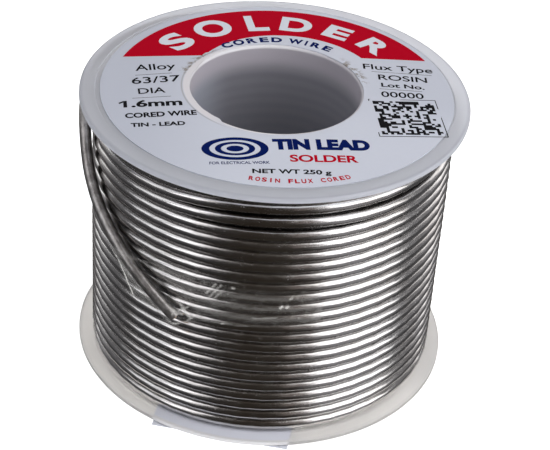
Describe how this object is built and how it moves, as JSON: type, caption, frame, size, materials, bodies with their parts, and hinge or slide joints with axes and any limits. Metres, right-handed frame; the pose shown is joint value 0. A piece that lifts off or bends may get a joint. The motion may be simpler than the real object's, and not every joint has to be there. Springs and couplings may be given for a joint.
{
  "type": "solder wire spool",
  "caption": "Translucent plastic spool wound with bright flux-cored solder wire, its outer end taped down, with a printed ring label on the upper flange.",
  "frame": {"origin": "on the spool's axis, at the outer face of the lower flange that the spool stands on", "axes": "+Z along the spool's axis, from the lower flange to the labelled upper flange; -Y towards the reader of the label"},
  "size_m": [0.0524, 0.0527, 0.0409],
  "materials": {
    "barrel_plastic": "natural translucent polypropylene, satin",
    "flange_plastic": "natural translucent polypropylene, satin",
    "label_paper": "white printed coated paper",
    "sticker_paper": "plain white paper",
    "clear_tape": "clear adhesive tape, glossy, slightly crinkled",
    "solder": "bright drawn tin-lead",
    "flux": "amber rosin"
  },
  "bodies": {
    "root": {"barrel": "barrel_plastic", "lower_flange": "flange_plastic", "upper_flange": "flange_plastic", "label": "label_paper", "underside_sticker": "sticker_paper", "tape": "clear_tape", "solder_layer_1": "solder", "solder_layer_2": "solder", "solder_layer_3": "solder", "solder_layer_4": "solder", "solder_layer_5": "solder", "solder_layer_6": "solder", "solder_tail": "solder", "flux_core": "flux"}
  },
  "joints": []
}
